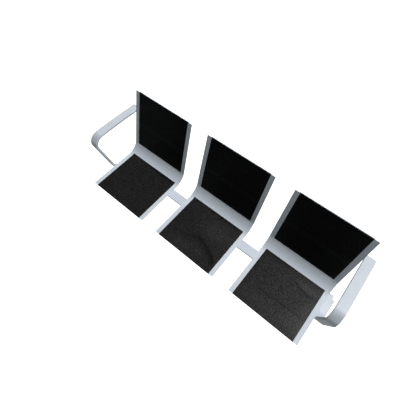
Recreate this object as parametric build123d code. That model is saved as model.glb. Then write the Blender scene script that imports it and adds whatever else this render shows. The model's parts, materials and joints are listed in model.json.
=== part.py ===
from build123d import *
from math import cos, degrees, radians, sin, sqrt, tan
import os

# Three-seat waiting-room bench: three bent sheet seats on one beam, a flat bar arm at each end,
# and a leg under each arm. Millimetres, +Z up, the sitter faces -Y.
# Everything is modelled from the front edge of the seats (Y = 0) and the seat surface (Z = 0),
# and stand() then puts the origin on the floor, under the middle of the bench.

# ---- driving dimensions ----
seat_pitch = 600.0
seat_height = 430.0

# seat shell
shell_width = 477.0
sheet = 3.0
seat_depth = 405.0          # front edge to where the seat plane meets the back plane
back_length = 468.0         # that meeting line to the top edge, along the back
recline = 16.9              # back plane from vertical, degrees
knee_radius = 100.0

# upholstery, let into two trays pressed in the sheet
pad_margin = 30.0           # bare sheet at each side of a pad
seat_pad_past_knee = 29.0   # the seat pad runs this far into the bend
back_pad_before_end = 12.0  # the back pad starts this far before the bend's end
tray_depth = 6.0
board_thickness = 3.0
pad_proud = 3.0
pad_side_gap = 0.5
pad_under_gap = 0.3
board_under_gap = 0.2
board_end_inset = 1.0       # from the shell's front and top edges
pad_screw_bite = 2.0        # into the tray's hollow
pad_screw_tip_gap = 0.2
pad_screw_from_rib = 40.0
pad_screw_from_front = 50.0
pad_screw_before_knee = 21.0
pad_screw_up_back = 40.0    # in from each end of the back pad

# beam: a square tube with a flat rail on top
beam_before_back = 85.0     # beam's middle to where the seat and back planes meet
rail_drop = 100.0           # seat surface to rail top
rail_width = 66.0
rail_thickness = 13.0
beam_size = 40.0
beam_wall = 3.0
beam_cap = 4.0
rail_screw_spacing = 120.0
rail_screw_tip = 2.0        # past the tube's wall
rail_edge_round = 1.0
plate_corner_round = 2.0
joint_gap = 0.3             # between parts that only butt together

# seat ribs and beam clamps
rib_spacing = 270.0
rib_thickness = 8.0
rib_depth = 30.0
rib_front = 55.0
rib_up_back = 170.0
rib_nose = 22.0
rib_nose_step = 8.0
rib_under_gap = 0.2
saddle_width = 40.0
saddle_length = 132.0
saddle_thickness = 8.0
clamp_bolt_spread = 108.0
pedestal_foot = 76.0
pedestal_head = 140.0
pedestal_shoulder = 18.0    # how far up into the rib it ends
tab_size = 26.0
tab_thickness = 5.0
tab_from_front = 80.0
tab_before_knee = 41.0
tab_up_back = 100.0         # from the end of the knee bend

# arms: bent flat bar
arm_gap = 2.5               # between the outer seats and the arms
arm_width = 57.0
arm_thickness = 15.0
arm_top = 315.0             # above the seat surface, where the arm starts to bend down
arm_crown_radius = 5000.0
arm_rear_past_beam = 215.0
arm_bend_radius = 68.6
arm_lean = 12.6             # the front run leans back as it goes down, degrees
arm_foot_bend_radius = 91.0
arm_foot_before_beam = 41.0 # the flat foot starts and ends this far from the beam's middle
arm_foot_past_beam = 58.0
arm_edge_round = 1.2

# plate between arm and beam
end_plate_width = 43.0
end_plate_length = 178.0
arm_bolt_spread = 68.0
arm_thread_depth = 11.5
arm_tip_gap = 1.0

# legs
leg_head_length = 110.0
leg_head_thickness = 8.0
post_width = 40.0
post_depth = 40.0
post_wall = 3.0
foot_bar_length = 440.0
foot_bar_width = 40.0
foot_bar_height = 30.0
foot_bar_wall = 2.5
foot_bar_clearance = 25.0   # floor to the underside of the bar
foot_cap = 4.0
tube_round = 4.0
plug_length = 12.0
plug_gap = 0.2

# levelling feet
foot_spacing = 370.0
foot_pad_radius = 22.0
foot_pad_height = 10.0
foot_pad_rim = 4.0
foot_pad_neck = 14.0
stem_radius = 5.0
stem_past_insert = 11.0
stem_socket_depth = 6.0
stem_ball_radius = 4.0
collar_across_flats = 17.0
collar_gap = 1.0            # to the lock nut above it
insert_radius = 9.0
insert_height = 14.0
lock_nut_height = 6.0
running_gap = 0.05

# fasteners: shank radius, head across flats, head height
m4 = (2.0, 8.0, 2.4)
m6 = (3.0, 10.0, 5.0)
m8 = (4.0, 13.0, 5.3)
m8_nut = 6.5
m10 = (5.0, 16.0, 6.4)
thread_gap = 0.02
hole_gap = 0.4
washer_thickness = 2.0
washer_radius = 10.0
stud_past_nut = 2.0
countersink_radius = 6.0
countersink_depth = 3.3
cut_past = 1.0              # how far a cutter runs past the face it opens

# ---- worked out from the dimensions ----
back_angle = 90.0 - recline
knee_reach = knee_radius * tan(radians(back_angle / 2))
knee_start = seat_depth - knee_reach
knee_end = knee_start + knee_radius * radians(back_angle)
surface_end = knee_end + back_length - knee_reach
pad_width = shell_width - 2 * pad_margin
seat_pad_end = knee_start + seat_pad_past_knee
back_pad_start = knee_end - back_pad_before_end
pan_depth = tray_depth + sheet
beam_from_front = seat_depth - beam_before_back
overall_depth = seat_depth + back_length * sin(radians(recline)) + pan_depth * cos(radians(recline))
rail_z = -rail_drop
beam_z = rail_z - rail_thickness
beam_bottom = beam_z - beam_size
leg_head_bottom = beam_bottom - leg_head_thickness
floor_z = -seat_height
bar_bottom = floor_z + foot_bar_clearance
bar_top = bar_bottom + foot_bar_height
collar_height = foot_bar_clearance - foot_pad_height - lock_nut_height - collar_gap
stem_top = foot_bar_clearance + insert_height + stem_past_insert
arm_inner_x = seat_pitch + shell_width / 2 + arm_gap
arm_outer_x = arm_inner_x + arm_width
end_plate_outer_x = arm_inner_x + end_plate_width
leg_x = arm_inner_x + end_plate_width / 2
rail_end_x = arm_inner_x - joint_gap

seats = {"left": -seat_pitch, "middle": 0.0, "right": seat_pitch}
sides = {"left": -1, "right": 1}
ends = {"front": -1, "rear": 1}


# ---- basic forms ----
def block(x0, x1, y0, y1, z0, z1):
    middle = Pos((x0 + x1) / 2, (y0 + y1) / 2, (z0 + z1) / 2)
    return middle * Box(x1 - x0, y1 - y0, z1 - z0)


def rod(x, y, z0, z1, radius):
    return Pos(x, y, (z0 + z1) / 2) * Cylinder(radius, z1 - z0)


def hexagon(x, y, z0, z1, across_flats):
    outline = RegularPolygon(across_flats / 2, 6, major_radius=False)
    return Pos(x, y, z0) * extrude(outline, amount=z1 - z0)


def cone(x, y, z0, z1, radius0, radius1):
    return Pos(x, y, (z0 + z1) / 2) * Cone(radius0, radius1, z1 - z0)


def side_profile(edges, x0, x1):
    face = Plane.YZ * make_face(edges)
    return Pos(x0, 0, 0) * extrude(face, amount=x1 - x0, dir=(1, 0, 0))


def tube(x0, x1, y0, y1, z0, z1, wall, along):
    outer = block(x0, x1, y0, y1, z0, z1)
    outer = fillet(outer.edges().filter_by(along), tube_round)
    dx = 0 if along == Axis.X else wall
    dy = 0 if along == Axis.Y else wall
    dz = 0 if along == Axis.Z else wall
    return outer - block(x0 + dx, x1 - dx, y0 + dy, y1 - dy, z0 + dz, z1 - dz)


# ---- the seat surface: flat seat, knee bend, flat back ----
def surface_point(s, depth):
    """Side-view point at the distance s along the surface, depth below it, and the slope there."""
    if s <= knee_start:
        return s, -depth, 0.0
    if s <= knee_end:
        turn = (s - knee_start) / knee_radius
        radius = knee_radius + depth
        return knee_start + radius * sin(turn), knee_radius - radius * cos(turn), degrees(turn)
    y, z, slope = surface_point(knee_end, depth)
    run = s - knee_end
    return y + run * sin(radians(recline)), z + run * cos(radians(recline)), back_angle


def surface_edges(depth, s0, s1):
    """The surface's side view from s0 to s1, at the given depth below it."""
    edges = []
    stops = [s0] + [s for s in (knee_start, knee_end) if s0 < s < s1] + [s1]
    for a, b in zip(stops, stops[1:]):
        start = surface_point(a, depth)[:2]
        end = surface_point(b, depth)[:2]
        if a >= knee_start and b <= knee_end:
            edges.append(ThreePointArc(start, surface_point((a + b) / 2, depth)[:2], end))
        else:
            edges.append(Line(start, end))
    return edges


def band(depth0, depth1, s0, s1, x0, x1, nose=0.0, nose_step=0.0):
    """A sheet that follows the surface, from depth0 down to depth1; its lower ends may be cut back."""
    top = surface_edges(depth0, s0, s1)
    bottom = surface_edges(depth1, s0 + nose, s1 - nose)
    corners = []
    for s, inner in ((s0, s0 + nose), (s1, s1 - nose)):
        points = [surface_point(s, depth0)[:2], surface_point(inner, depth1)[:2]]
        if nose:
            points.insert(1, surface_point(s, depth0 + nose_step)[:2])
        corners += [Line(p, q) for p, q in zip(points, points[1:])]
    return side_profile(top + bottom + corners, x0, x1)


def on_surface(s):
    """A place on the surface with +Z out towards the sitter and +Y up the seat and back."""
    y, z, slope = surface_point(s, 0.0)
    return Pos(0, y, z) * Rot(slope, 0, 0)


# ---- seats ----
def tab_stations():
    return (tab_from_front, knee_start - tab_before_knee, knee_end + tab_up_back)


def tab_x():
    return rib_spacing / 2 + rib_thickness / 2 + tab_size / 2


def pad_screw_stations():
    seat_places = (pad_screw_from_front, knee_start - pad_screw_before_knee)
    back_places = (back_pad_start + pad_screw_up_back, surface_end - pad_screw_up_back)
    return seat_places + back_places


def pad_screw_x():
    return rib_spacing / 2 - pad_screw_from_rib


def tray(s0, s1, wall_s0, wall_s1):
    """The pressed tray between s0 and s1: its hollow, and the sheet around that hollow."""
    half = pad_width / 2 + pad_side_gap
    hollow = band(-cut_past, tray_depth, s0, s1, -half, half)
    pan = band(0.0, pan_depth, wall_s0, wall_s1, -half - sheet, half + sheet)
    return hollow, pan


def seat_shell():
    plate = band(0.0, sheet, 0.0, surface_end, -shell_width / 2, shell_width / 2)
    seat_tray_end = seat_pad_end + pad_side_gap
    back_tray_start = back_pad_start - pad_side_gap
    seat_hollow, seat_pan = tray(-cut_past, seat_tray_end, 0.0, seat_tray_end + sheet)
    back_hollow, back_pan = tray(back_tray_start, surface_end + cut_past, back_tray_start - sheet, surface_end)
    shell = plate + seat_pan + back_pan - seat_hollow - back_hollow
    stud_end = pan_depth + tab_thickness + m6[2] + stud_past_nut
    for s in tab_stations():
        for side in (-1, 1):
            shell += on_surface(s) * rod(side * tab_x(), 0, -stud_end, -tray_depth - sheet / 2, m6[0])
    for s in pad_screw_stations():
        for side in (-1, 1):
            hole = rod(side * pad_screw_x(), 0, -pan_depth - cut_past, -tray_depth + cut_past,
                       m4[0] + hole_gap / 2)
            shell -= on_surface(s) * hole
    return shell


def pad(s0, s1):
    half = pad_width / 2
    return band(-pad_proud, tray_depth - board_thickness - pad_under_gap, s0, s1, -half, half)


def board(s0, s1):
    half = pad_width / 2
    top = tray_depth - board_thickness
    bottom = tray_depth - board_under_gap
    panel = band(top, bottom, s0, s1, -half, half)
    for s in pad_screw_stations():
        if s0 < s < s1:
            for side in (-1, 1):
                hole = rod(side * pad_screw_x(), 0, -bottom - cut_past,
                           -tray_depth + pad_screw_bite + pad_screw_tip_gap, m4[0] + thread_gap)
                panel -= on_surface(s) * hole
    return panel


def pad_screws(seat_x):
    screws = []
    for s in pad_screw_stations():
        for side in (-1, 1):
            x = side * pad_screw_x()
            shank = rod(x, 0, -pan_depth, -tray_depth + pad_screw_bite, m4[0])
            head = rod(x, 0, -pan_depth - m4[2], -pan_depth, m4[1] / 2)
            screws.append(Pos(seat_x, 0, 0) * on_surface(s) * (shank + head))
    return screws


# ---- ribs that carry a seat on the beam ----
def rib(side):
    """Cast rib for one side of a seat: curved arm, pedestal, saddle on the rail, and screw tabs."""
    x = side * rib_spacing / 2
    x0 = x - rib_thickness / 2
    x1 = x + rib_thickness / 2
    body = band(pan_depth + rib_under_gap, pan_depth + rib_depth, rib_front, knee_end + rib_up_back,
                x0, x1, rib_nose, rib_nose_step)
    saddle_top = rail_z + saddle_thickness
    shoulder = -pan_depth - rib_depth + pedestal_shoulder
    corners = [
        (beam_from_front - pedestal_foot / 2, saddle_top),
        (beam_from_front - pedestal_head / 2, shoulder),
        (beam_from_front + pedestal_head / 2, shoulder),
        (beam_from_front + pedestal_foot / 2, saddle_top),
    ]
    body += side_profile(Polyline(*corners, close=True).edges(), x0, x1)
    saddle = block(x - saddle_width / 2, x + saddle_width / 2, beam_from_front - saddle_length / 2,
                   beam_from_front + saddle_length / 2, rail_z, saddle_top)
    body += saddle
    for end in (-1, 1):
        y = beam_from_front + end * clamp_bolt_spread / 2
        body -= rod(x, y, rail_z - cut_past, saddle_top + cut_past, m8[0] + hole_gap)
    for s in tab_stations():
        inner = x + side * rib_thickness / 2
        outer = inner + side * tab_size
        tab = block(min(inner, outer), max(inner, outer), -tab_size / 2, tab_size / 2,
                    -pan_depth - tab_thickness, -pan_depth)
        hole = rod(side * tab_x(), 0, -pan_depth - tab_thickness - cut_past, -pan_depth + cut_past,
                   m6[0] + hole_gap)
        body += on_surface(s) * tab
        body -= on_surface(s) * hole
    return body


def rib_nuts(seat_x):
    nuts = []
    top = -pan_depth - tab_thickness
    for s in tab_stations():
        for side in (-1, 1):
            x = side * tab_x()
            nut = hexagon(x, 0, top - m6[2], top, m6[1])
            nut -= rod(x, 0, top - m6[2] - cut_past, top + cut_past, m6[0] + thread_gap)
            nuts.append(Pos(seat_x, 0, 0) * on_surface(s) * nut)
    return nuts


def clamp_jaw(side):
    x = side * rib_spacing / 2
    jaw = block(x - saddle_width / 2, x + saddle_width / 2, beam_from_front - saddle_length / 2,
                beam_from_front + saddle_length / 2, beam_bottom - saddle_thickness, beam_bottom)
    for end in (-1, 1):
        y = beam_from_front + end * clamp_bolt_spread / 2
        jaw -= rod(x, y, beam_bottom - saddle_thickness - cut_past, beam_bottom + cut_past, m8[0] + hole_gap)
    return jaw


def clamp_bolt_places():
    places = []
    for seat_x in seats.values():
        for side in (-1, 1):
            for end in (-1, 1):
                y = beam_from_front + end * clamp_bolt_spread / 2
                places.append((seat_x + side * rib_spacing / 2, y))
    return places


def clamp_bolts():
    """Bolts hang from the saddles and pass in front of and behind the beam."""
    top = rail_z + saddle_thickness
    bottom = beam_bottom - saddle_thickness - m8_nut - stud_past_nut
    return [rod(x, y, bottom, top, m8[0]) + hexagon(x, y, top, top + m8[2], m8[1])
            for x, y in clamp_bolt_places()]


def clamp_nuts():
    top = beam_bottom - saddle_thickness
    bottom = top - m8_nut
    return [hexagon(x, y, bottom, top, m8[1]) - rod(x, y, bottom - cut_past, top + cut_past, m8[0] + thread_gap)
            for x, y in clamp_bolt_places()]


# ---- beam ----
def rail_screw_places():
    return [x + side * rail_screw_spacing / 2 for x in seats.values() for side in (-1, 1)]


def rail_screw(x, gap=0.0):
    """A countersunk screw from the rail top into the tube's upper wall; gap makes its hole."""
    y = beam_from_front
    screw = rod(x, y, beam_z - beam_wall - rail_screw_tip, rail_z, m6[0] + gap)
    return screw + cone(x, y, rail_z - countersink_depth, rail_z, m6[0] + gap, countersink_radius + gap)


def beam_tube():
    half = end_plate_outer_x - beam_cap
    y = beam_from_front
    body = tube(-half, half, y - beam_size / 2, y + beam_size / 2, beam_bottom, beam_z, beam_wall, Axis.X)
    for x in rail_screw_places():
        body -= rod(x, y, beam_z - beam_wall - cut_past, beam_z + cut_past, m6[0] + thread_gap)
    return body


def beam_rail():
    y = beam_from_front
    rail = block(-rail_end_x, rail_end_x, y - rail_width / 2, y + rail_width / 2, beam_z, rail_z)
    rail = fillet(rail.edges().filter_by(Axis.X), rail_edge_round)
    for x in rail_screw_places():
        rail -= rail_screw(x, thread_gap)
    return rail


def plug_cap(length_axis, position, outward, centre, size, wall, plate):
    """A plastic cap: a plate over a tube's end and a plug inside it, drawn along +X then turned."""
    width, height = size
    face = Box(plate, width, height)
    face = fillet(face.edges().filter_by(Axis.X), tube_round)
    inside = wall + plug_gap
    plug = Box(plug_length, width - 2 * inside, height - 2 * inside)
    plug = Pos(-(plate + plug_length) / 2, 0, 0) * plug
    cap = Pos(plate / 2, 0, 0) * (face + plug)
    if length_axis == Axis.Y:
        turn = 90 if outward > 0 else -90
    else:
        turn = 0 if outward > 0 else 180
    return Pos(*position) * Pos(*centre) * Rot(0, 0, turn) * cap


def beam_end_cap(side):
    end_x = side * (end_plate_outer_x - beam_cap)
    centre = (0, beam_from_front, beam_z - beam_size / 2)
    return plug_cap(Axis.X, (end_x, 0, 0), side, centre, (beam_size, beam_size), beam_wall, beam_cap)


def arm_bolt_ys():
    return [beam_from_front + end * arm_bolt_spread / 2 for end in (-1, 1)]


def end_plate(side):
    x0, x1 = sorted((side * arm_inner_x, side * end_plate_outer_x))
    half = end_plate_length / 2
    plate = block(x0, x1, beam_from_front - half, beam_from_front + half, beam_z, rail_z)
    plate = fillet(plate.edges().filter_by(Axis.Z), plate_corner_round)
    for y in arm_bolt_ys():
        plate -= rod(side * leg_x, y, beam_z - cut_past, rail_z + cut_past, m10[0] + hole_gap)
    return plate


# ---- arms ----
def arm_outline():
    """Side view of the bent bar: crowned top, front bend, leaning front run, foot bend, foot."""
    lean = radians(arm_lean)
    out_y = -cos(lean)
    out_z = -sin(lean)
    bend_z = arm_top - arm_bend_radius
    foot_y = beam_from_front - arm_foot_before_beam
    foot_z = rail_z + arm_foot_bend_radius
    reach = arm_foot_bend_radius - arm_bend_radius + (bend_z - foot_z) * sin(lean)
    bend_y = foot_y - reach / cos(lean)
    crown_z = arm_top - arm_crown_radius
    rear_y = beam_from_front + arm_rear_past_beam
    rear = rear_y - bend_y
    edges = []
    rear_ends = []
    foot_ends = []
    for inset in (0.0, arm_thickness):
        crown_r = arm_crown_radius - inset
        bend_r = arm_bend_radius - inset
        foot_r = arm_foot_bend_radius - inset
        rear_top = (rear_y, crown_z + sqrt(crown_r**2 - rear**2))
        crown_middle = (bend_y + rear / 2, crown_z + sqrt(crown_r**2 - (rear / 2)**2))
        bend_start = (bend_y, bend_z + bend_r)
        middle = radians(90 + (90 + arm_lean) / 2)
        bend_middle = (bend_y + bend_r * cos(middle), bend_z + bend_r * sin(middle))
        bend_end = (bend_y + bend_r * out_y, bend_z + bend_r * out_z)
        foot_start = (foot_y + foot_r * out_y, foot_z + foot_r * out_z)
        middle = radians(180 + arm_lean + (90 - arm_lean) / 2)
        foot_middle = (foot_y + foot_r * cos(middle), foot_z + foot_r * sin(middle))
        foot_flat = (foot_y, foot_z - foot_r)
        foot_end = (beam_from_front + arm_foot_past_beam, foot_z - foot_r)
        edges += [
            ThreePointArc(rear_top, crown_middle, bend_start),
            ThreePointArc(bend_start, bend_middle, bend_end),
            Line(bend_end, foot_start),
            ThreePointArc(foot_start, foot_middle, foot_flat),
            Line(foot_flat, foot_end),
        ]
        rear_ends.append(rear_top)
        foot_ends.append(foot_end)
    edges += [Line(*rear_ends), Line(*foot_ends)]
    return edges


def arm(side):
    x0, x1 = sorted((side * arm_inner_x, side * arm_outer_x))
    bar = side_profile(arm_outline(), x0, x1)
    rims = bar.faces().sort_by(Axis.X)[0].edges() + bar.faces().sort_by(Axis.X)[-1].edges()
    bar = fillet(rims, arm_edge_round)
    for y in arm_bolt_ys():
        bar -= rod(side * leg_x, y, rail_z - cut_past, rail_z + arm_thread_depth + arm_tip_gap,
                   m10[0] + thread_gap)
    return bar


def arm_bolts():
    """Bolts from under the leg head, past the beam, through the end plate and into the arm's foot."""
    bolts = []
    for side in (-1, 1):
        for y in arm_bolt_ys():
            x = side * leg_x
            head_top = leg_head_bottom - washer_thickness
            bolt = rod(x, y, head_top, rail_z + arm_thread_depth, m10[0])
            bolts.append(bolt + hexagon(x, y, head_top - m10[2], head_top, m10[1]))
    return bolts


def arm_bolt_washers():
    washers = []
    for side in (-1, 1):
        for y in arm_bolt_ys():
            bottom = leg_head_bottom - washer_thickness
            washer = rod(side * leg_x, y, bottom, leg_head_bottom, washer_radius)
            washers.append(washer - rod(side * leg_x, y, bottom - cut_past, leg_head_bottom + cut_past,
                                        m10[0] + hole_gap))
    return washers


# ---- legs ----
def leg_head(side):
    x0, x1 = sorted((side * arm_inner_x, side * end_plate_outer_x))
    half = leg_head_length / 2
    plate = block(x0, x1, beam_from_front - half, beam_from_front + half, leg_head_bottom, beam_bottom)
    plate = fillet(plate.edges().filter_by(Axis.Z), plate_corner_round)
    for y in arm_bolt_ys():
        plate -= rod(side * leg_x, y, leg_head_bottom - cut_past, beam_bottom + cut_past, m10[0] + hole_gap)
    return plate


def leg_post(side):
    x = side * leg_x
    y = beam_from_front
    return tube(x - post_width / 2, x + post_width / 2, y - post_depth / 2, y + post_depth / 2,
                bar_top, leg_head_bottom, post_wall, Axis.Z)


def foot_ys():
    return {name: beam_from_front + end * foot_spacing / 2 for name, end in ends.items()}


def foot_bar(side):
    x = side * leg_x
    half = foot_bar_length / 2 - foot_cap
    y = beam_from_front
    bar = tube(x - foot_bar_width / 2, x + foot_bar_width / 2, y - half, y + half,
               bar_bottom, bar_top, foot_bar_wall, Axis.Y)
    for foot_y in foot_ys().values():
        bar -= rod(x, foot_y, bar_bottom - cut_past, bar_bottom + foot_bar_wall + cut_past,
                   insert_radius + thread_gap)
    return bar


def foot_bar_caps():
    caps = []
    z = (bar_bottom + bar_top) / 2
    for side in (-1, 1):
        for end in (-1, 1):
            end_y = beam_from_front + end * (foot_bar_length / 2 - foot_cap)
            caps.append(plug_cap(Axis.Y, (0, end_y, 0), end, (side * leg_x, 0, z),
                                 (foot_bar_width, foot_bar_height), foot_bar_wall, foot_cap))
    return caps


def foot_places():
    return [(side * leg_x, y) for side in (-1, 1) for y in foot_ys().values()]


def foot_inserts():
    inserts = []
    for x, y in foot_places():
        bush = rod(x, y, bar_bottom, bar_bottom + insert_height, insert_radius)
        inserts.append(bush - rod(x, y, bar_bottom - cut_past, bar_bottom + insert_height + cut_past,
                                  stem_radius + running_gap))
    return inserts


def lock_nuts():
    nuts = []
    for x, y in foot_places():
        nut = hexagon(x, y, bar_bottom - lock_nut_height, bar_bottom, collar_across_flats)
        nuts.append(nut - rod(x, y, bar_bottom - lock_nut_height - cut_past, bar_bottom + cut_past,
                              stem_radius + running_gap))
    return nuts


def foot_pad(x, y):
    """Round foot with a tapered top and a blind socket for the stem."""
    top = floor_z + foot_pad_height
    rim = floor_z + foot_pad_rim
    base = rod(x, y, floor_z, rim, foot_pad_radius)
    base += cone(x, y, rim, top, foot_pad_radius, foot_pad_neck)
    return base - rod(x, y, top - stem_socket_depth, top + cut_past, stem_ball_radius + running_gap)


def foot_stem(x, y):
    """Threaded stem: plain end in the pad's socket, hexagon collar, thread up into the bar."""
    top = floor_z + foot_pad_height
    stem = rod(x, y, top - stem_socket_depth + joint_gap, top, stem_ball_radius)
    stem += hexagon(x, y, top, top + collar_height, collar_across_flats)
    return stem + rod(x, y, top + collar_height, floor_z + stem_top, stem_radius)


# ---- the nodes ----
def stand(solid):
    return Pos(0, -overall_depth / 2, seat_height) * solid


def write(name, solids):
    if not isinstance(solids, list):
        solids = [solids]
    placed = [stand(one) for solid in solids for one in solid.solids()]
    export_step(placed[0] if len(placed) == 1 else Compound(children=placed), f"parts/{name}.step")


def write_seat(name, seat_x):
    here = Pos(seat_x, 0, 0)
    write(f"seat_shell_{name}", here * seat_shell())
    write(f"seat_pad_{name}", here * pad(0.0, seat_pad_end))
    write(f"back_pad_{name}", here * pad(back_pad_start, surface_end))
    write(f"seat_board_{name}", here * board(board_end_inset, seat_pad_end))
    write(f"back_board_{name}", here * board(back_pad_start, surface_end - board_end_inset))
    for side_name, side in sides.items():
        write(f"seat_rib_{name}_{side_name}", here * rib(side))
        write(f"clamp_jaw_{name}_{side_name}", here * clamp_jaw(side))


def write_end(name, side):
    write(f"arm_{name}", arm(side))
    write(f"end_plate_{name}", end_plate(side))
    write(f"beam_end_cap_{name}", beam_end_cap(side))
    write(f"leg_head_{name}", leg_head(side))
    write(f"leg_post_{name}", leg_post(side))
    write(f"foot_bar_{name}", foot_bar(side))
    for end_name, y in foot_ys().items():
        write(f"foot_pad_{end_name}_{name}", foot_pad(side * leg_x, y))
        write(f"foot_stem_{end_name}_{name}", foot_stem(side * leg_x, y))


def main():
    os.makedirs("parts", exist_ok=True)
    write("beam_tube", beam_tube())
    write("beam_rail", beam_rail())
    write("rail_screws", [rail_screw(x) for x in rail_screw_places()])
    for name, seat_x in seats.items():
        write_seat(name, seat_x)
    write("pad_screws", [screw for seat_x in seats.values() for screw in pad_screws(seat_x)])
    write("rib_nuts", [nut for seat_x in seats.values() for nut in rib_nuts(seat_x)])
    write("clamp_bolts", clamp_bolts())
    write("clamp_nuts", clamp_nuts())
    for name, side in sides.items():
        write_end(name, side)
    write("arm_bolts", arm_bolts())
    write("arm_bolt_washers", arm_bolt_washers())
    write("foot_bar_caps", foot_bar_caps())
    write("foot_inserts", foot_inserts())
    write("lock_nuts", lock_nuts())


main()
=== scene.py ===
import bpy, json, math
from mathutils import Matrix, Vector, noise


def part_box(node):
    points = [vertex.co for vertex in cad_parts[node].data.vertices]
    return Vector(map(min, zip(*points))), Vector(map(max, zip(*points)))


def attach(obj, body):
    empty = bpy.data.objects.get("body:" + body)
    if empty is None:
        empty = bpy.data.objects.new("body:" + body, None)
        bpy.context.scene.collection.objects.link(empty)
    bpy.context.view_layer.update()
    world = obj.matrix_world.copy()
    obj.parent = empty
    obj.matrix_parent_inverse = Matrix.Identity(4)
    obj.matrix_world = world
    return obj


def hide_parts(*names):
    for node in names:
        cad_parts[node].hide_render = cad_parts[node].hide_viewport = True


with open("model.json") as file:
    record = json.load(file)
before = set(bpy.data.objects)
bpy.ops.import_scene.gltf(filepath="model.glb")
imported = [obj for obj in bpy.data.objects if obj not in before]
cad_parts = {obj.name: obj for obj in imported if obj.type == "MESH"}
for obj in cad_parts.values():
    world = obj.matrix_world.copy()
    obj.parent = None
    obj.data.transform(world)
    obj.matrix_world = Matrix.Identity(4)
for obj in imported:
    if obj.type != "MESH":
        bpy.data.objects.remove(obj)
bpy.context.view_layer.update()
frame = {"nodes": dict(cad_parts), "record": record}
nodes = frame["nodes"]
scene = bpy.context.scene
seatNames = ("left", "middle", "right")
endNames = ("left", "right")
benchBody = "frame"
mm = 0.001


# node helpers

def addNode(tree, kind, values=None, **settings):
    node = tree.nodes.new(kind)
    for key, value in settings.items():
        setattr(node, key, value)
    for key, value in (values or {}).items():
        node.inputs[key].default_value = value
    return node


def link(tree, start, end):
    tree.links.new(start, end)


def mathNode(tree, operation, a, b=0.0, clamp=False):
    node = addNode(tree, "ShaderNodeMath", operation=operation, use_clamp=clamp)
    for socket, value in zip(node.inputs, (a, b)):
        if isinstance(value, (int, float)):
            socket.default_value = value
        else:
            link(tree, value, socket)
    return node.outputs[0]


def rangeNode(tree, value, low, high, toLow=0.0, toHigh=1.0):
    node = addNode(tree, "ShaderNodeMapRange", interpolation_type="SMOOTHSTEP",
                   values={"From Min": low, "From Max": high, "To Min": toLow, "To Max": toHigh})
    link(tree, value, node.inputs["Value"])
    return node.outputs["Result"]


def mixColours(tree, mask, first, second):
    node = addNode(tree, "ShaderNodeMix", data_type="RGBA")
    link(tree, mask, node.inputs[0])
    for socket, value in ((node.inputs[6], first), (node.inputs[7], second)):
        if isinstance(value, tuple):
            socket.default_value = (*value, 1.0)
        else:
            link(tree, value, socket)
    return node.outputs[2]


def noiseOut(tree, vector, scale, detail=2.0, roughness=0.5):
    node = addNode(tree, "ShaderNodeTexNoise", values={"Detail": detail, "Roughness": roughness})
    link(tree, vector, node.inputs["Vector"])
    if isinstance(scale, (int, float)):
        node.inputs["Scale"].default_value = scale
    else:
        link(tree, scale, node.inputs["Scale"])
    return node.outputs["Fac"]


def newGroup(name, numbers, results):
    # a group takes a place and some numbers, and gives heights or masks
    group = bpy.data.node_groups.new(name, "ShaderNodeTree")
    group.interface.new_socket("Vector", in_out="INPUT", socket_type="NodeSocketVector")
    for key, value in numbers.items():
        socket = group.interface.new_socket(key, in_out="INPUT", socket_type="NodeSocketFloat")
        socket.default_value = value
    for key in results:
        group.interface.new_socket(key, in_out="OUTPUT", socket_type="NodeSocketFloat")
    given = group.nodes.new("NodeGroupInput")
    result = group.nodes.new("NodeGroupOutput")
    return group, given.outputs, result.inputs


def useGroup(tree, group, **values):
    node = tree.nodes.new("ShaderNodeGroup")
    node.node_tree = group
    coords = tree.nodes.get("coords") or addNode(tree, "ShaderNodeTexCoord", name="coords")
    link(tree, coords.outputs["Object"], node.inputs["Vector"])
    for key, value in values.items():
        node.inputs[key].default_value = value
    return node.outputs


# shared effects, each built once; a pair of numbers is where a mask starts and where it is full

peelForm = {"fineShare": 0.7, "waveScale": 60.0, "flakeScale": 2400.0, "flake": (0.05, 0.45)}
peelHeights = (0.4, 1.2)    # the lowest and the highest that the peel comes to


def makePeelGroup():
    # fine orange peel of a baked powder coat over a slow wave, and specks of metal flake
    group, given, result = newGroup("coatPeel", {"Scale": 900.0}, ("Height", "Speckle"))
    fine = noiseOut(group, given["Vector"], given["Scale"], detail=3.0, roughness=0.6)
    wave = noiseOut(group, given["Vector"], peelForm["waveScale"], detail=1.0)
    height = mathNode(group, "ADD", mathNode(group, "MULTIPLY", fine, peelForm["fineShare"]), wave)
    link(group, height, result["Height"])
    cells = addNode(group, "ShaderNodeTexVoronoi", feature="F1", values={"Scale": peelForm["flakeScale"]})
    link(group, given["Vector"], cells.inputs["Vector"])
    speckle = rangeNode(group, cells.outputs["Distance"], *peelForm["flake"], toLow=1.0, toHigh=0.0)
    link(group, speckle, result["Speckle"])
    return group


wearForm = {"edgeRadius": 1.3 * mm, "edge": (0.80, 0.985), "patchScale": 85.0, "patch": (0.42, 0.68)}


def makeWearGroup():
    # worn or thin coat along edges: the rounded normal against the true one, broken up by noise
    group, given, result = newGroup("edgeWear", {"Amount": 1.0}, ("Mask",))
    rounded = addNode(group, "ShaderNodeBevel", samples=4, values={"Radius": wearForm["edgeRadius"]})
    true = addNode(group, "ShaderNodeNewGeometry")
    dot = addNode(group, "ShaderNodeVectorMath", operation="DOT_PRODUCT")
    link(group, rounded.outputs[0], dot.inputs[0])
    link(group, true.outputs["Normal"], dot.inputs[1])
    edge = rangeNode(group, dot.outputs["Value"], *wearForm["edge"], toLow=1.0, toHigh=0.0)
    patches = noiseOut(group, given["Vector"], wearForm["patchScale"], detail=4.0, roughness=0.65)
    worn = mathNode(group, "MULTIPLY", edge, rangeNode(group, patches, *wearForm["patch"]))
    link(group, mathNode(group, "MULTIPLY", worn, given["Amount"], clamp=True), result["Mask"])
    return group


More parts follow.
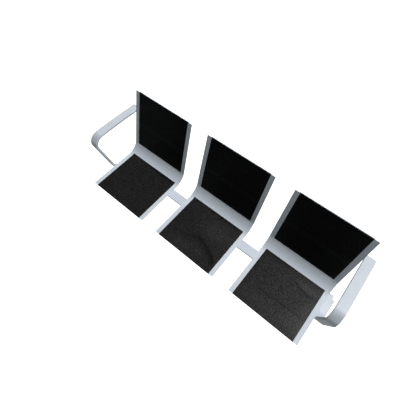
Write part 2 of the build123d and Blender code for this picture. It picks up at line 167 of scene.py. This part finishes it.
soilForm = {"cloudScale": 7.0, "cloud": (0.35, 0.7),
            "streakScale": (9.0, 90.0, 60.0), "streakTurn": (0.0, 0.0, 0.5), "streak": (0.6, 0.76)}


def makeSoilGroup():
    # handling marks and settled dust: large soft clouds and a few short wipe streaks
    group, given, result = newGroup("soil", {}, ("Cloud", "Streak"))
    clouds = noiseOut(group, given["Vector"], soilForm["cloudScale"], detail=4.0, roughness=0.55)
    link(group, rangeNode(group, clouds, *soilForm["cloud"]), result["Cloud"])
    stretch = addNode(group, "ShaderNodeMapping",
                      values={"Scale": soilForm["streakScale"], "Rotation": soilForm["streakTurn"]})
    link(group, given["Vector"], stretch.inputs["Vector"])
    streaks = noiseOut(group, stretch.outputs["Vector"], 1.0, detail=3.0)
    link(group, rangeNode(group, streaks, *soilForm["streak"]), result["Streak"])
    return group


grainForm = {
    "warpScale": 190.0, "warp": 2.2 * mm,       # how far the pebbles are pulled out of shape
    "pebble": (0.02, 0.32), "crease": (0.0, 0.1),
    "skinScale": 1500.0, "skinShare": 0.45,
    "mottleScale": 150.0,
    "speckScale": 255.0, "speck": (0.45, 0.56),
    "coarseScale": 160.0, "coarse": (0.45, 0.57),
}


def makeGrainGroup():
    # pebbled leatherette: pebbles parted by creases, fine skin between, and a coarser mottle over both
    group, given, result = newGroup("pebbleGrain", {"Scale": 420.0, "Mottle": 3.0},
                                    ("Height", "Valley", "Speck", "Coarse"))
    place = given["Vector"]
    warp = addNode(group, "ShaderNodeTexNoise", values={"Scale": grainForm["warpScale"], "Detail": 2.0})
    link(group, place, warp.inputs["Vector"])
    shift = addNode(group, "ShaderNodeVectorMath", operation="SCALE", values={"Scale": grainForm["warp"]})
    link(group, warp.outputs["Color"], shift.inputs[0])
    moved = addNode(group, "ShaderNodeVectorMath", operation="ADD")
    link(group, place, moved.inputs[0])
    link(group, shift.outputs[0], moved.inputs[1])
    cells = addNode(group, "ShaderNodeTexVoronoi", feature="DISTANCE_TO_EDGE")
    link(group, moved.outputs[0], cells.inputs["Vector"])
    link(group, given["Scale"], cells.inputs["Scale"])
    pebble = rangeNode(group, cells.outputs["Distance"], *grainForm["pebble"])
    skin = noiseOut(group, moved.outputs[0], grainForm["skinScale"], detail=3.0, roughness=0.6)
    mottle = noiseOut(group, place, grainForm["mottleScale"], roughness=0.6)
    height = mathNode(group, "ADD", pebble, mathNode(group, "MULTIPLY", skin, grainForm["skinShare"]))
    height = mathNode(group, "ADD", height, mathNode(group, "MULTIPLY", mottle, given["Mottle"]))
    link(group, height, result["Height"])
    crease = rangeNode(group, cells.outputs["Distance"], *grainForm["crease"], toLow=1.0, toHigh=0.0)
    link(group, crease, result["Valley"])
    speck = noiseOut(group, place, grainForm["speckScale"], detail=1.0)
    link(group, rangeNode(group, speck, *grainForm["speck"]), result["Speck"])
    coarse = noiseOut(group, place, grainForm["coarseScale"], detail=1.0)
    link(group, rangeNode(group, coarse, *grainForm["coarse"]), result["Coarse"])
    return group


peelGroup = makePeelGroup()
wearGroup = makeWearGroup()
soilGroup = makeSoilGroup()
grainGroup = makeGrainGroup()
print("shared node groups built")


# materials

def newMaterial(name, sockets):
    material = bpy.data.materials.new(name)
    material.use_nodes = True
    tree = material.node_tree
    shader = tree.nodes["Principled BSDF"]
    for key, value in sockets.items():
        shader.inputs[key].default_value = value
    return material, tree, shader.inputs


def bumpFrom(tree, height, depth):
    node = addNode(tree, "ShaderNodeBump", values={"Strength": 1.0, "Distance": depth})
    link(tree, height, node.inputs["Height"])
    return node.outputs["Normal"]


coatLook = {
    "colour": (0.544, 0.59, 0.66),
    "dull": (0.525, 0.57, 0.64),    # where dust has settled
    "bare": (0.70, 0.72, 0.74),     # metal that shows through the coat
    "roughness": (0.50, 0.60),
    "streakRoughness": 0.05,
    "peelScale": 900.0,
    "peelDepth": 0.05 * mm,
    "flake": 0.10,                  # how much the metal flake shows
    "wear": 0.5,
    "shell": {"IOR": 1.5, "Specular IOR Level": 0.6, "Coat Weight": 0.3, "Coat Roughness": 0.15},
}
# the rail and the end plates are a shade darker than the sheet; the rail's long sides, the faces turned to
# the front and back, are coloured black as painted shade
railTone = {"colour": (0.50, 0.543, 0.607), "dull": (0.485, 0.527, 0.59)}
railPaintedShadeSides = {"colour": (0.035, 0.036, 0.038), "facing": (0.5, 0.8)}


def makeCoat(name, paintedShadeSides=None, **changes):
    look = {**coatLook, **changes}
    material, tree, shader = newMaterial(name, look["shell"])
    peel = useGroup(tree, peelGroup, Scale=look["peelScale"])
    wear = useGroup(tree, wearGroup, Amount=look["wear"])
    soil = useGroup(tree, soilGroup)
    tone = mixColours(tree, soil["Cloud"], look["colour"], look["dull"])
    flake = mathNode(tree, "MULTIPLY", peel["Speckle"], look["flake"])
    tone = mixColours(tree, flake, tone, look["bare"])
    tone = mixColours(tree, wear["Mask"], tone, look["bare"])
    # faces turned to the front or back get a dark colour: painted shade on the rail's long sides
    if paintedShadeSides:
        facing = addNode(tree, "ShaderNodeSeparateXYZ")
        link(tree, addNode(tree, "ShaderNodeNewGeometry").outputs["True Normal"], facing.inputs[0])
        side = rangeNode(tree, mathNode(tree, "ABSOLUTE", facing.outputs["Y"]), *paintedShadeSides["facing"])
        tone = mixColours(tree, side, tone, paintedShadeSides["colour"])
    link(tree, tone, shader["Base Color"])
    rough = mathNode(tree, "ADD", mathNode(tree, "MULTIPLY", soil["Streak"], look["streakRoughness"]),
                     rangeNode(tree, soil["Cloud"], 0.0, 1.0, *look["roughness"]))
    link(tree, rough, shader["Roughness"])
    link(tree, bumpFrom(tree, peel["Height"], look["peelDepth"]), shader["Normal"])
    return material


seatLeatherLook = {
    "colour": (0.0032, 0.0032, 0.0032),
    "scuffed": (0.0212, 0.0212, 0.0214),
    "valley": (0.0020, 0.0020, 0.0020),
    # painted shade, for the folds and the dark bands
    "paintedShade": (0.0008, 0.0008, 0.0008),
    # painted sheen, for the light patches
    "paintedSheen": (0.0500, 0.0500, 0.0492),
    "roughness": (0.44, 0.58),
    "markRoughness": 0.06,       # the cover is this much rougher where sheen is painted, and this much smoother where shade is painted in folds and dark bands
    "skin": (0.03, 0.50),       # shine of the pebbles' skin, from the dullest to the brightest
    "markShine": 0.13,
    "grainScale": 420.0,
    "mottle": 3.2,
    "grainDepth": 0.10 * mm,
    "gloss": 0.13,
    "skinRoughness": 0.5,
    "ior": 1.45,
}
# the backs are a darker copy of the seats' leatherette, with painted shade in their colours and less gloss
paintedShadeBackLeatherLook = {
    **seatLeatherLook,
    "colour": (0.0014, 0.0014, 0.0014),
    "scuffed": (0.0058, 0.0058, 0.0058),
    "valley": (0.0010, 0.0010, 0.0010),
    "roughness": (0.46, 0.58),
    "skin": (0.0, 0.10),
    "markShine": 0.1,
    "gloss": 0.07,
}


def makeLeather(name, look):
    material, tree, shader = newMaterial(name, {"IOR": look["ior"], "Specular IOR Level": look["gloss"],
                                                "Coat Roughness": look["skinRoughness"]})
    grain = useGroup(tree, grainGroup, Scale=look["grainScale"], Mottle=look["mottle"])
    # the marks' tone: below zero it paints shade, above zero it paints sheen, and it also sets roughness
    # and coat gloss
    paintedShadeSheen = addNode(tree, "ShaderNodeAttribute", attribute_name="paintedShadeSheen").outputs["Fac"]
    paintedSheen = rangeNode(tree, paintedShadeSheen, 0.0, 1.0)
    paintedShade = rangeNode(tree, paintedShadeSheen, 0.0, -1.0)
    tone = mixColours(tree, grain["Speck"], look["colour"], look["scuffed"])
    tone = mixColours(tree, mathNode(tree, "MULTIPLY", paintedSheen, grain["Coarse"]), tone, look["paintedSheen"])
    tone = mixColours(tree, paintedShade, tone, look["paintedShade"])
    link(tree, mixColours(tree, grain["Valley"], tone, look["valley"]), shader["Base Color"])
    rough = mathNode(tree, "ADD", rangeNode(tree, grain["Speck"], 0.0, 1.0, *look["roughness"]),
                     mathNode(tree, "MULTIPLY", paintedShadeSheen, look["markRoughness"]), clamp=True)
    link(tree, rough, shader["Roughness"])
    shine = mathNode(tree, "ADD", rangeNode(tree, grain["Speck"], 0.0, 1.0, *look["skin"]),
                     mathNode(tree, "MULTIPLY", paintedShadeSheen, look["markShine"]), clamp=True)
    link(tree, shine, shader["Coat Weight"])
    link(tree, bumpFrom(tree, grain["Height"], look["grainDepth"]), shader["Normal"])
    return material


zincLook = {"colour": (0.56, 0.56, 0.53), "tarnish": (0.40, 0.38, 0.33), "roughness": (0.28, 0.5),
            "metallic": 0.65, "peelScale": 1800.0, "peelDepth": 0.02 * mm}


def makeZinc(name, look):
    material, tree, shader = newMaterial(name, {"Metallic": look["metallic"]})
    soil = useGroup(tree, soilGroup)
    peel = useGroup(tree, peelGroup, Scale=look["peelScale"])
    link(tree, mixColours(tree, soil["Cloud"], look["colour"], look["tarnish"]), shader["Base Color"])
    link(tree, rangeNode(tree, peel["Height"], *peelHeights, *look["roughness"]), shader["Roughness"])
    link(tree, bumpFrom(tree, peel["Height"], look["peelDepth"]), shader["Normal"])
    return material


plasticLook = {"colour": (0.022, 0.022, 0.023), "scuff": (0.06, 0.06, 0.06), "roughness": (0.48, 0.62),
               "ior": 1.48, "wear": 0.8, "peelScale": 1400.0, "peelDepth": 0.08 * mm}


def makePlastic(name, look):
    material, tree, shader = newMaterial(name, {"IOR": look["ior"]})
    peel = useGroup(tree, peelGroup, Scale=look["peelScale"])
    wear = useGroup(tree, wearGroup, Amount=look["wear"])
    link(tree, mixColours(tree, wear["Mask"], look["colour"], look["scuff"]), shader["Base Color"])
    link(tree, rangeNode(tree, peel["Height"], *peelHeights, *look["roughness"]), shader["Roughness"])
    link(tree, bumpFrom(tree, peel["Height"], look["peelDepth"]), shader["Normal"])
    return material


plyLook = {"early": (0.030, 0.028, 0.027), "late": (0.016, 0.015, 0.014), "roughness": (0.6, 0.75),
           "ior": 1.45, "stretch": (6.0, 120.0, 120.0), "rings": (0.35, 0.65), "pores": (0.3, 0.7),
           "grainDepth": 0.1 * mm}


def makePly(name, look):
    material, tree, shader = newMaterial(name, {"IOR": look["ior"]})
    coords = addNode(tree, "ShaderNodeTexCoord")
    stretch = addNode(tree, "ShaderNodeMapping", values={"Scale": look["stretch"]})
    link(tree, coords.outputs["Object"], stretch.inputs["Vector"])
    rings = noiseOut(tree, stretch.outputs["Vector"], 1.0, detail=5.0, roughness=0.6)
    mask = rangeNode(tree, rings, *look["rings"])
    link(tree, mixColours(tree, mask, look["early"], look["late"]), shader["Base Color"])
    link(tree, rangeNode(tree, rings, *look["pores"], *look["roughness"]), shader["Roughness"])
    link(tree, bumpFrom(tree, rings, look["grainDepth"]), shader["Normal"])
    return material


# one finish for each material slot, and others for the rail, the end plates and the backs' boards
finishes = {
    "coated_aluminium": makeCoat("silverCoatSheet"),
    "coated_steel": makeCoat("silverCoatSteel", roughness=(0.42, 0.54), wear=0.7),
    "cast_aluminium": makeCoat("silverCoatCast", colour=(0.50, 0.53, 0.57), dull=(0.43, 0.46, 0.50),
                               peelScale=420.0, peelDepth=0.35 * mm, roughness=(0.5, 0.64)),
    "beam_rail": makeCoat("silverCoatRail", paintedShadeSides=railPaintedShadeSides, **railTone),
    "zinc_steel": makeZinc("zincPlate", zincLook),
    "black_plastic": makePlastic("capPlastic", plasticLook),
    "foot_plastic": makePlastic("footPlastic", {**plasticLook, "roughness": (0.58, 0.74)}),
    "pad_board": makePly("blackStainedPly", plyLook),
}
endPlateCoat = makeCoat("silverCoatPlate", roughness=(0.46, 0.56), **railTone)
for name in endNames:
    finishes[f"end_plate_{name}"] = endPlateCoat
for name in seatNames:
    finishes[f"back_board_{name}"] = finishes["coated_aluminium"]   # faced in silver
leathers = {"seat": makeLeather("blackLeatheretteSeat", seatLeatherLook),
            "back": makeLeather("blackLeatheretteBackPaintedShade", paintedShadeBackLeatherLook)}

coatedNodes = []    # the softboxes show on these
for part in frame["record"]["subparts"]:
    finish = finishes.get(part["node"]) or finishes.get(part["material_slot"])
    if finish:
        thing = nodes[part["node"]]
        for materialSlot in thing.material_slots:
            materialSlot.material = finish
        if finish.name.startswith("silverCoat"):
            coatedNodes.append(thing)
print("metal, plastic and board finishes assigned")


# upholstery: thin leatherette panels that follow the bent sheet

seatForm = {
    "kneeRadius": 100.0 * mm,
    "recline": math.radians(16.9),
    "padUnder": 2.7 * mm,       # the pad's underside lies this deep in its tray
    "padProud": 3.0 * mm,
    "padPastKnee": 29.0 * mm,
    "backBeforeEnd": 12.0 * mm,
}
padForm = {
    "step": 7.0 * mm,
    "crown": 0.9 * mm,          # how much the middle stands over the edge
    "crownBy": 30.0 * mm,       # the crown has come in this far from the edge
    "crownPower": 0.35,         # the lower, the flatter the middle
    "edgeHeight": 1.5 * mm,     # top of the rolled edge over the sheet
    "edgeRoll": 2.2 * mm,
    "edgeRows": (0.0, 0.06, 0.22, 0.5, 1.0, 2.2),   # rows of points at the edge, as shares of the roll
    "sideGap": 0.2 * mm,
    "wave": 0.3 * mm,
    "waveScale": 14,
    "rippleScale": 45,
    "rippleShare": 0.5,
    "seeds": {"seat": 1.7, "back": 7.3},    # so no two pads have the same waves
    "seedStep": 3.1,
}
# the leatherette is a little larger than its board, and the foam presses it up from below
puff = {
    "frames": 20,
    "quality": 5,
    "pressure": 4.0,
    "slack": 0.006,
    "bending": 0.6,
    "border": 2.5 * padForm["edgeRoll"],    # held fast this far in
    "foamHold": 0.42,
    "rise": 1.3 * mm,
    "sink": 0.7 * mm,
}

# the folds that use has left on each pad, and the painted shade and sheen over it, in millimetres from its
# front (or lower) left corner: folds as bent lines with a width to each side, pressed in and darkened with
# painted shade, and patches as place, reach and strength, painted shade below zero and painted sheen above
seatMarks = {
    "left": {
        "folds": [{"points": [(60, 120), (150, 150), (240, 140)],
                   "width": (14, 10), "depth": 0.25, "paintedShade": 0.25}],
        "patches": [(290, 352, 150, 16, -0.8)],
    },
    "middle": {
        "folds": [{"points": [(190, 160), (274, 138), (368, 95), (402, 50)],
                   "width": (27, 9), "depth": 0.9, "paintedShade": 0.8},
                  {"points": [(25, 92), (139, 111), (215, 150)],
                   "width": (24, 18), "depth": 0.4, "paintedShade": 0.45}],
        "patches": [(300, 352, 120, 16, -0.8), (300, 250, 130, 80, 0.6), (385, 40, 40, 60, -0.3),
                    (150, 50, 170, 60, 0.45)],
    },
    "right": {
        "folds": [{"points": [(69, 125), (166, 121), (223, 130), (316, 133), (402, 134)],
                   "width": (5.5, 5), "depth": 0.8, "paintedShade": 0.85},
                  {"points": [(222, 306), (271, 283), (343, 266), (402, 274)],
                   "width": (6, 5), "depth": 0.8, "paintedShade": 1.0}],
        "patches": [(120, 350, 110, 22, -0.7), (330, 302, 80, 20, 0.9), (390, 90, 80, 70, 0.8),
                    (390, 210, 40, 60, 0.5), (150, 60, 170, 60, 0.35)],
    },
}
# the backs share their marks: soft lighter bands across them, a painted highlight
backMarks = {
    "folds": [],
    "patches": [(210, 176, 900, 17, 0.3), (210, 75, 160, 14, 0.2), (230, 330, 120, 18, 0.15)],
}
foldEnds = {"least": 0.25, "growth": 5}     # a fold's depth at its ends, and how fast it grows from there


def seatSurface(name):
    # where the flat seat starts and bends, read from the pads' boxes
    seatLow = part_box(f"seat_pad_{name}")[0]
    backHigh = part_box(f"back_pad_{name}")[1]
    kneeRadius, recline = seatForm["kneeRadius"], seatForm["recline"]
    bend = math.pi / 2 - recline
    z = seatLow.z + seatForm["padUnder"]
    topY = backHigh.y - seatForm["padUnder"] * math.cos(recline)   # the back surface's top edge
    topZ = backHigh.z - seatForm["padProud"] * math.sin(recline)
    kneeEndZ = z + kneeRadius * (1 - math.cos(bend))
    run = (topZ - kneeEndZ) / math.cos(recline)
    kneeStart = topY - run * math.sin(recline) - kneeRadius * math.sin(bend) - seatLow.y
    kneeEnd = kneeStart + kneeRadius * bend
    return {"front": seatLow.y, "z": z, "kneeStart": kneeStart, "kneeEnd": kneeEnd, "end": kneeEnd + run,
            "bend": bend}


def onSurface(surface, s):
    # a place along the bent surface and its outward normal, both in the side view
    radius = seatForm["kneeRadius"]
    if s <= surface["kneeStart"]:
        return surface["front"] + s, surface["z"], 0.0, 1.0
    turn = min(s - surface["kneeStart"], radius * surface["bend"]) / radius
    y = surface["front"] + surface["kneeStart"] + radius * math.sin(turn)
    z = surface["z"] + radius * (1 - math.cos(turn))
    run = max(0.0, s - surface["kneeEnd"])
    return y + run * math.cos(turn), z + run * math.sin(turn), -math.sin(turn), math.cos(turn)


def edgeHeight(distance):
    # the cover rolls down into the tray at its edge, as a quarter of an ellipse
    t = min(1.0, distance / padForm["edgeRoll"])
    drop = padForm["edgeHeight"] + seatForm["padUnder"]
    return drop * math.sqrt(max(0.0, 1 - (1 - t) ** 2)) - seatForm["padUnder"]


def waveAt(u, v, scale, layer):
    return noise.noise(Vector((u * scale, v * scale, layer)))


def padHeight(u, v, width, length, seed):
    # u across and v along the pad, both from one corner
    nearest = min(u, width - u, v, length - v)
    inside = min(1.0, nearest / padForm["crownBy"])
    side = math.sin(math.pi * u / width) * math.sin(math.pi * v / length)
    crown = padForm["crown"] * max(0.0, side) ** padForm["crownPower"]
    wave = waveAt(u, v, padForm["waveScale"], seed * padForm["seedStep"])
    wave += padForm["rippleShare"] * waveAt(u, v, padForm["rippleScale"], seed)
    return edgeHeight(nearest) + inside * (crown + padForm["wave"] * wave)


def fromLine(u, v, points):
    # distance from a bent line, how far along it as a share of the whole, and the side of it
    best, bestShare, side = 1.0, 0.0, 0
    spans = len(points) - 1
    for i in range(spans):
        start = Vector(points[i]) * mm
        step = Vector(points[i + 1]) * mm - start
        away = Vector((u, v)) - start
        t = max(0.0, min(1.0, away.dot(step) / step.length_squared))
        distance = (away - step * t).length
        if distance < best:
            best, bestShare, side = distance, (i + t) / spans, int(step.cross(away) > 0)
    return best, bestShare, side


def marksAt(u, v, marks):
    # the dip of the folds, and the painted tone there: shade below zero, sheen above
    dip, tone = 0.0, 0.0
    for fold in marks["folds"]:
        away, share, side = fromLine(u, v, fold["points"])
        fade = min(1.0, foldEnds["growth"] * min(share, 1 - share) + foldEnds["least"])
        depth = fade * math.exp(-(away / (fold["width"][side] * mm)) ** 2)
        dip += fold["depth"] * mm * depth
        # a fold darkens its crease with painted shade
        tone -= fold["paintedShade"] * depth
    for x, y, reachX, reachY, strength in marks["patches"]:
        tone += strength * math.exp(-((u / mm - x) / reachX) ** 2 - ((v / mm - y) / reachY) ** 2)
    return dip, tone


def stations(length):
    # closer steps near both ends, where the edge rolls over
    start = [share * padForm["edgeRoll"] for share in padForm["edgeRows"]]
    flat = length - 2 * start[-1]
    count = max(2, round(flat / padForm["step"]))
    middle = [start[-1] + flat * i / count for i in range(1, count)]
    return start + middle + [length - t for t in reversed(start)]


def gridFaces(rows, columns):
    return [(a, a + 1, a + columns + 1, a + columns)
            for r in range(rows - 1) for a in range(r * columns, r * columns + columns - 1)]


def makePanel(name, kind, seed):
    # the open top sheet of a pad, with its border held
    surface = seatSurface(name)
    low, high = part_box(f"{kind}_pad_{name}")
    gap = padForm["sideGap"]
    x0, width = low.x + gap, high.x - low.x - 2 * gap
    if kind == "seat":
        start, end = 0.0, surface["kneeStart"] + seatForm["padPastKnee"] - gap
    else:
        start, end = surface["kneeEnd"] - seatForm["backBeforeEnd"] + gap, surface["end"]
    length = end - start
    us, vs = stations(width), stations(length)
    places = [(u, v) for v in vs for u in us]
    verts = []
    for u, v in places:
        y, z, ny, nz = onSurface(surface, start + v)
        height = padHeight(u, v, width, length, seed)
        verts.append((x0 + u, y + ny * height, z + nz * height))
    mesh = bpy.data.meshes.new(f"{kind}Cover_{name}")
    mesh.from_pydata(verts, [], gridFaces(len(vs), len(us)))
    cover = bpy.data.objects.new(f"{kind}Cover_{name}", mesh)
    scene.collection.objects.link(cover)
    held = cover.vertex_groups.new(name="held")
    for i, (u, v) in enumerate(places):
        nearest = min(u, width - u, v, length - v)
        held.add([i], 1.0 if nearest < puff["border"] else puff["foamHold"], "REPLACE")
    return {"cover": cover, "kind": kind, "node": f"{kind}_pad_{name}", "surface": surface, "start": start,
            "marks": seatMarks[name] if kind == "seat" else backMarks, "places": places, "columns": len(us)}


def puffPanels(panels):
    # cloth under the foam's pressure, for all the panels in one run
    for panel in panels:
        cloth = panel["cover"].modifiers.new("puff", "CLOTH")
        settings = cloth.settings
        settings.quality = puff["quality"]
        settings.use_pressure = True
        settings.uniform_pressure_force = puff["pressure"]
        settings.shrink_min = settings.shrink_max = -puff["slack"]
        settings.bending_stiffness = puff["bending"]
        settings.vertex_group_mass = "held"
        settings.effector_weights.gravity = 0
        cloth.collision_settings.use_collision = False
        cloth.point_cache.frame_end = puff["frames"]
    for step in range(1, puff["frames"] + 1):
        scene.frame_set(step)
    depsgraph = bpy.context.evaluated_depsgraph_get()
    for panel in panels:
        cover = panel["cover"]
        swollen = [vertex.co.copy() for vertex in cover.evaluated_get(depsgraph).data.vertices]
        cover.modifiers.clear()
        moves = []
        for vertex, new in zip(cover.data.vertices, swollen):
            normal = vertex.normal.copy()
            rise = (new - vertex.co).dot(normal)
            limit = puff["rise"] if rise > 0 else puff["sink"]
            vertex.co += normal * limit * math.tanh(rise / limit)
            moves.append(rise)
        least, most = round(min(moves) / mm, 2), round(max(moves) / mm, 2)
        print("puffed", cover.name, "between", least, "and", most, "mm")
    scene.frame_set(1)


def doubled(line):
    # a point between each two, on the smooth curve through their neighbours (the four-point rule)
    result = []
    for i in range(len(line) - 1):
        near, far = line[i], line[i + 1]
        middle = (near + far) / 2
        if 0 < i < len(line) - 2:
            middle = middle * 1.125 - (line[i - 1] + line[i + 2]) / 16
        result += [near, middle]
    return result + [line[-1]]


def doubledGrid(grid):
    rows = [doubled(row) for row in grid]
    columns = [doubled([row[c] for row in rows]) for c in range(len(rows[0]))]
    return [[column[r] for column in columns] for r in range(len(columns[0]))]


def closePanel(panel):
    # twice as fine, with the folds pressed in, the painted shade and sheen stored on the points, and a flat
    # underside
    cover, columns = panel["cover"], panel["columns"]
    points = [vertex.co.copy() for vertex in cover.data.vertices]
    places = [Vector(place) for place in panel["places"]]
    rowStarts = range(0, len(points), columns)
    fine = doubledGrid([points[r:r + columns] for r in rowStarts])
    finePlaces = doubledGrid([places[r:r + columns] for r in rowStarts])
    rows, columns = len(fine), len(fine[0])
    verts, tones = [], []
    for row, rowPlaces in zip(fine, finePlaces):
        for point, (u, v) in zip(row, rowPlaces):
            dip, tone = marksAt(u, v, panel["marks"])
            ny, nz = onSurface(panel["surface"], panel["start"] + v)[2:]
            verts.append(point - Vector((0.0, ny, nz)) * dip)
            tones.append(tone)
    faces = gridFaces(rows, columns)
    topCount = len(faces)
    for r in range(rows - 1):   # the underside goes straight across, from rim to rim
        near, far = r * columns, (r + 1) * columns
        farRow = list(range(far, far + columns)) if r == rows - 2 else [far, far + columns - 1]
        nearRow = list(range(near + columns - 1, near, -1)) if r == 0 else [near + columns - 1]
        faces.append([near] + farRow + nearRow)
    mesh = bpy.data.meshes.new(cover.name)
    mesh.from_pydata(verts, [], faces)
    mesh.polygons.foreach_set("use_smooth", [i < topCount for i in range(len(faces))])
    # the painted shade and sheen go on the points, for the leatherette to read
    mesh.attributes.new("paintedShadeSheen", "FLOAT", "POINT").data.foreach_set("value", tones)
    mesh.materials.append(leathers[panel["kind"]])
    cover.data = mesh
    cover.vertex_groups.clear()
    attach(cover, benchBody)
    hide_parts(panel["node"])


panels = [makePanel(name, kind, seed + index) for index, name in enumerate(seatNames)
          for kind, seed in padForm["seeds"].items()]
puffPanels(panels)
for panel in panels:
    closePanel(panel)
print("six upholstered pads made")


# studio

studio = {
    "skyTint": (0.95, 1.0, 0.98),
    "skyDiffuse": 0.12,
    "skyGloss": 0.10,
    "floorHalf": 60.0,
    "floorGrey": 0.8,
    "floorGlow": 0.9,
    "floorGloss": 0.22,
    "floorBounce": (0.85, 0.40),    # under and near the bench, and far from it
    "bouncePool": (0.75, 1.25),     # how far the near part reaches, in metres from the beam
    "poolSqueeze": (0.55, 1.0, 1.0),    # so it is longer along the beam
    "lens": 25.82,
    "eye": (0.5514, -0.6750, 2.2268),
    "target": (0.0, -0.0026, 0.6115),
}
# the sun, by the way towards it, its strength and its angular size in degrees
keySun = {"way": (0.49, 0.255, 0.834), "distance": 5.0, "strength": 2.97, "spread": 10.0}
# softboxes that show only in the gloss of the coat: a wide one overhead and a long low one in front
softboxes = {
    "overhead": {"place": (-1.3, 2.3, 5.0), "aim": (-1.3, 2.3, 0.0), "size": (9.4, 3.2), "radiance": 2.9,
                 "tint": (1.0, 1.0, 0.97)},
    "front": {"place": (-0.9, -3.0, 0.62), "aim": (-0.9, 0.0, 0.62), "size": (6.0, 1.15), "radiance": 1.65,
              "tint": (0.955, 1.0, 0.87)},
}


def addStage(name, data):
    thing = bpy.data.objects.new(name, data)
    scene.collection.objects.link(thing)
    thing.visible_camera = data.id_type != "LIGHT"
    return thing


def byRay(tree, seen, gloss, soft):
    # one light for the camera, one for reflections, one for the soft bounce on everything else
    path = addNode(tree, "ShaderNodeLightPath")
    inner, outer = tree.nodes.new("ShaderNodeMixShader"), tree.nodes.new("ShaderNodeMixShader")
    link(tree, path.outputs["Is Glossy Ray"], inner.inputs[0])
    link(tree, soft.outputs[0], inner.inputs[1])
    link(tree, gloss.outputs[0], inner.inputs[2])
    link(tree, path.outputs["Is Camera Ray"], outer.inputs[0])
    link(tree, inner.outputs[0], outer.inputs[1])
    link(tree, seen.outputs[0], outer.inputs[2])
    return outer.outputs[0]


def plainLight(tree, kind, strength, tint=(1.0, 1.0, 1.0)):
    node = addNode(tree, kind, values={"Color": (*tint, 1)})
    if isinstance(strength, float):
        node.inputs["Strength"].default_value = strength
    else:
        link(tree, strength, node.inputs["Strength"])
    return node


def bouncePool(tree):
    # the floor gives back more light close to the bench than far away
    coords = addNode(tree, "ShaderNodeTexCoord")
    squeeze = addNode(tree, "ShaderNodeMapping", values={"Scale": studio["poolSqueeze"]})
    distance = addNode(tree, "ShaderNodeVectorMath", operation="LENGTH")
    link(tree, coords.outputs["Object"], squeeze.inputs["Vector"])
    link(tree, squeeze.outputs["Vector"], distance.inputs[0])
    return rangeNode(tree, distance.outputs["Value"], *studio["bouncePool"], *studio["floorBounce"])


def makeFloor():
    mesh = bpy.data.meshes.new("floor")
    half = studio["floorHalf"]
    corners = [(-half, -half, 0), (half, -half, 0), (half, half, 0), (-half, half, 0)]
    mesh.from_pydata(corners, [], [(0, 1, 2, 3)])
    addStage("floor", mesh)
    material = bpy.data.materials.new("paleFloor")
    material.use_nodes = True
    tree = material.node_tree
    tree.nodes.clear()
    grey = studio["floorGrey"]
    lit = addNode(tree, "ShaderNodeBsdfDiffuse", values={"Color": (grey, grey, grey, 1)})
    above = tree.nodes.new("ShaderNodeAddShader")
    link(tree, lit.outputs[0], above.inputs[0])
    link(tree, plainLight(tree, "ShaderNodeEmission", studio["floorGlow"]).outputs[0], above.inputs[1])
    seen = tree.nodes.new("ShaderNodeMixShader")       # clear from below, so the underside can be looked at
    link(tree, addNode(tree, "ShaderNodeNewGeometry").outputs["Backfacing"], seen.inputs[0])
    link(tree, above.outputs[0], seen.inputs[1])
    link(tree, tree.nodes.new("ShaderNodeBsdfTransparent").outputs[0], seen.inputs[2])
    result = byRay(tree, seen, plainLight(tree, "ShaderNodeEmission", studio["floorGloss"]),
                   plainLight(tree, "ShaderNodeEmission", bouncePool(tree), studio["skyTint"]))
    output = tree.nodes.new("ShaderNodeOutputMaterial")
    link(tree, result, output.inputs["Surface"])
    mesh.materials.append(material)


def makeWorld():
    world = bpy.data.worlds.new("studio")
    scene.world = world
    world.use_nodes = True
    tree = world.node_tree
    tree.nodes.clear()
    kind = "ShaderNodeBackground"
    result = byRay(tree, plainLight(tree, kind, 1.0), plainLight(tree, kind, studio["skyGloss"]),
                   plainLight(tree, kind, studio["skyDiffuse"], studio["skyTint"]))
    output = tree.nodes.new("ShaderNodeOutputWorld")
    link(tree, result, output.inputs["Surface"])


def aim(thing, target):
    thing.rotation_euler = (Vector(target) - thing.location).to_track_quat("-Z", "Y").to_euler()


def makeSun():
    light = bpy.data.lights.new("key", "SUN")
    light.energy = keySun["strength"]
    light.angle = math.radians(keySun["spread"])
    light.use_shadow = False
    sun = addStage("key", light)
    sun.location = Vector(keySun["way"]) * keySun["distance"]
    aim(sun, (0, 0, 0))


def makeSoftbox(name, look, shownOn):
    light = bpy.data.lights.new(name, "AREA")
    light.shape = "RECTANGLE"
    light.size, light.size_y = look["size"]
    light.energy = look["radiance"] * math.pi * light.size * light.size_y
    light.color = look["tint"]
    light.use_shadow = False
    lamp = addStage(name, light)
    lamp.location = look["place"]
    aim(lamp, look["aim"])
    lamp.visible_diffuse = False
    lamp.light_linking.receiver_collection = shownOn


def makeCamera():
    data = bpy.data.cameras.new("camera")
    data.lens = studio["lens"]
    camera = addStage("camera", data)
    camera.location = studio["eye"]
    aim(camera, studio["target"])
    scene.camera = camera


makeFloor()
makeWorld()
makeSun()
coated = bpy.data.collections.new("softboxesShowOn")
for thing in coatedNodes:
    coated.objects.link(thing)
for name, look in softboxes.items():
    makeSoftbox(name, look, coated)
makeCamera()
scene.view_settings.view_transform = "Standard"
print("studio and camera ready")
